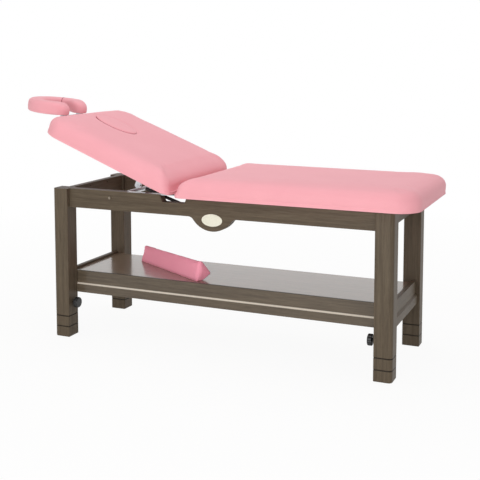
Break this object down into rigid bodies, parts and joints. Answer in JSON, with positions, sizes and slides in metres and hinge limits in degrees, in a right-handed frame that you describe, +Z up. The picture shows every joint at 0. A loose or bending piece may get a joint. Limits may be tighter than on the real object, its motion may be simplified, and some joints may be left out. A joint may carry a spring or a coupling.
{
  "type": "massage couch",
  "caption": "Wooden massage couch with a raised pink backrest, horseshoe face rest, low shelf, telescoping feet and a loose wedge cushion.",
  "frame": {"origin": "on the floor under the middle of the overall length, on the couch's centre line", "axes": "+Z up, +X towards the foot end, +Y towards the back, away from the side with the plaque"},
  "size_m": [2.0858, 0.7, 1.1462],
  "materials": {
    "oak": "satin stain",
    "plywood": "plain",
    "vinyl": "satin synthetic leather",
    "steel": "zinc plated",
    "black_steel": "black",
    "plastic": "black",
    "brass": "plain",
    "enamel": "cream"
  },
  "bodies": {
    "frame": {"leg_head_front": "oak", "leg_head_rear": "oak", "leg_foot_front": "oak", "leg_foot_rear": "oak", "top_rail_front": "oak", "top_rail_rear": "oak", "top_rail_head": "oak", "top_rail_foot": "oak", "oval_plaque": "enamel", "shelf_board": "oak", "shelf_rail_front": "oak", "shelf_rail_rear": "oak", "shelf_rail_head": "oak", "shelf_rail_foot": "oak", "shelf_screws": "steel", "cross_bar": "steel", "cross_bar_bolts": "steel", "hinge_strap_front": "steel", "hinge_strap_rear": "steel", "hinge_pins": "steel", "gas_anchor_front": "steel", "gas_anchor_rear": "steel", "clamp_inserts": "brass", "seat_board": "plywood", "seat_cushion": "vinyl"},
    "foot_head_front": {"foot_head_front": "oak", "spacer_head_front": "oak"},
    "foot_head_rear": {"foot_head_rear": "oak", "spacer_head_rear": "oak"},
    "foot_foot_front": {"foot_foot_front": "oak", "spacer_foot_front": "oak"},
    "foot_foot_rear": {"foot_foot_rear": "oak", "spacer_foot_rear": "oak"},
    "clamp_head_front": {"knob_head_front": "plastic"},
    "clamp_head_rear": {"knob_head_rear": "plastic"},
    "clamp_foot_front": {"knob_foot_front": "plastic"},
    "clamp_foot_rear": {"knob_foot_rear": "plastic"},
    "backrest": {"backrest_board": "plywood", "backrest_cushion": "vinyl", "backrest_bearer_front": "oak", "backrest_bearer_rear": "oak", "hinge_leaf_front": "steel", "hinge_leaf_rear": "steel", "gas_bracket_front": "steel", "gas_bracket_rear": "steel", "bracket_pins": "steel", "face_rest_guide_front": "steel", "face_rest_guide_rear": "steel"},
    "plug": {"breathing_plug": "vinyl"},
    "face_rest_carriage": {"face_rest_fork": "steel"},
    "face_rest": {"face_rest_clamps": "black_steel", "face_rest_plate": "plywood", "face_rest_cushion": "vinyl"},
    "gas_cylinder_front": {"gas_cylinder_front": "black_steel"},
    "gas_cylinder_rear": {"gas_cylinder_rear": "black_steel"},
    "gas_rod_front": {"gas_rod_front": "steel"},
    "gas_rod_rear": {"gas_rod_rear": "steel"},
    "wedge": {"wedge_cushion": "vinyl"}
  },
  "joints": [
    {"name": "backrest_hinge", "type": "hinge", "parent": "frame", "child": "backrest", "pos_m": [-0.06937, 0, 0.72], "axis": [0, 1, 0], "range_deg": [-22, 28]},
    {"name": "plug_lift", "type": "slide", "parent": "backrest", "child": "plug", "axis": [0.3746, 0, 0.9272], "range_m": [0, 0.12]},
    {"name": "face_rest_slide", "type": "slide", "parent": "backrest", "child": "face_rest_carriage", "axis": [-0.9272, 0, 0.3746], "range_m": [0, 0.08]},
    {"name": "face_rest_tilt", "type": "hinge", "parent": "face_rest_carriage", "child": "face_rest", "pos_m": [-0.80361, 0, 1.04361], "axis": [0, 1, 0], "range_deg": [-25, 28]},
    {"name": "wedge_lift", "type": "slide", "parent": "frame", "child": "wedge", "axis": [0, 0, 1], "range_m": [0, 0.1]},
    {"name": "foot_slide_head_front", "type": "slide", "parent": "frame", "child": "foot_head_front", "axis": [0, 0, -1], "range_m": [0, 0.098]},
    {"name": "knob_turn_head_front", "type": "hinge", "parent": "frame", "child": "clamp_head_front", "pos_m": [-0.63737, -0.26, 0.164], "axis": [1, 0, 0], "range_deg": [0, 360]},
    {"name": "foot_slide_head_rear", "type": "slide", "parent": "frame", "child": "foot_head_rear", "axis": [0, 0, -1], "range_m": [0, 0.098]},
    {"name": "knob_turn_head_rear", "type": "hinge", "parent": "frame", "child": "clamp_head_rear", "pos_m": [-0.63737, 0.26, 0.164], "axis": [1, 0, 0], "range_deg": [0, 360]},
    {"name": "foot_slide_foot_front", "type": "slide", "parent": "frame", "child": "foot_foot_front", "axis": [0, 0, -1], "range_m": [0, 0.098]},
    {"name": "knob_turn_foot_front", "type": "hinge", "parent": "frame", "child": "clamp_foot_front", "pos_m": [0.85863, -0.26, 0.164], "axis": [-1, 0, 0], "range_deg": [0, 360]},
    {"name": "foot_slide_foot_rear", "type": "slide", "parent": "frame", "child": "foot_foot_rear", "axis": [0, 0, -1], "range_m": [0, 0.098]},
    {"name": "knob_turn_foot_rear", "type": "hinge", "parent": "frame", "child": "clamp_foot_rear", "pos_m": [0.85863, 0.26, 0.164], "axis": [-1, 0, 0], "range_deg": [0, 360]},
    {"name": "gas_cylinder_turn_front", "type": "hinge", "parent": "frame", "child": "gas_cylinder_front", "pos_m": [-0.05737, -0.205, 0.665], "axis": [0, 1, 0], "range_deg": [-20.4, 25.7]},
    {"name": "gas_rod_slide_front", "type": "slide", "parent": "gas_cylinder_front", "child": "gas_rod_front", "axis": [-0.9515, 0, 0.3075], "range_m": [-0.019, 0.024]},
    {"name": "gas_cylinder_turn_rear", "type": "hinge", "parent": "frame", "child": "gas_cylinder_rear", "pos_m": [-0.05737, 0.205, 0.665], "axis": [0, 1, 0], "range_deg": [-20.4, 25.7]},
    {"name": "gas_rod_slide_rear", "type": "slide", "parent": "gas_cylinder_rear", "child": "gas_rod_rear", "axis": [-0.9515, 0, 0.3075], "range_m": [-0.019, 0.024]}
  ],
  "couplings": [
    {"joint": "gas_cylinder_turn_front", "follows": "backrest_hinge", "ratio": 0.883},
    {"joint": "gas_rod_slide_front", "follows": "backrest_hinge", "m_per_rad": 0.04599},
    {"joint": "gas_cylinder_turn_rear", "follows": "backrest_hinge", "ratio": 0.883},
    {"joint": "gas_rod_slide_rear", "follows": "backrest_hinge", "m_per_rad": 0.04599}
  ]
}
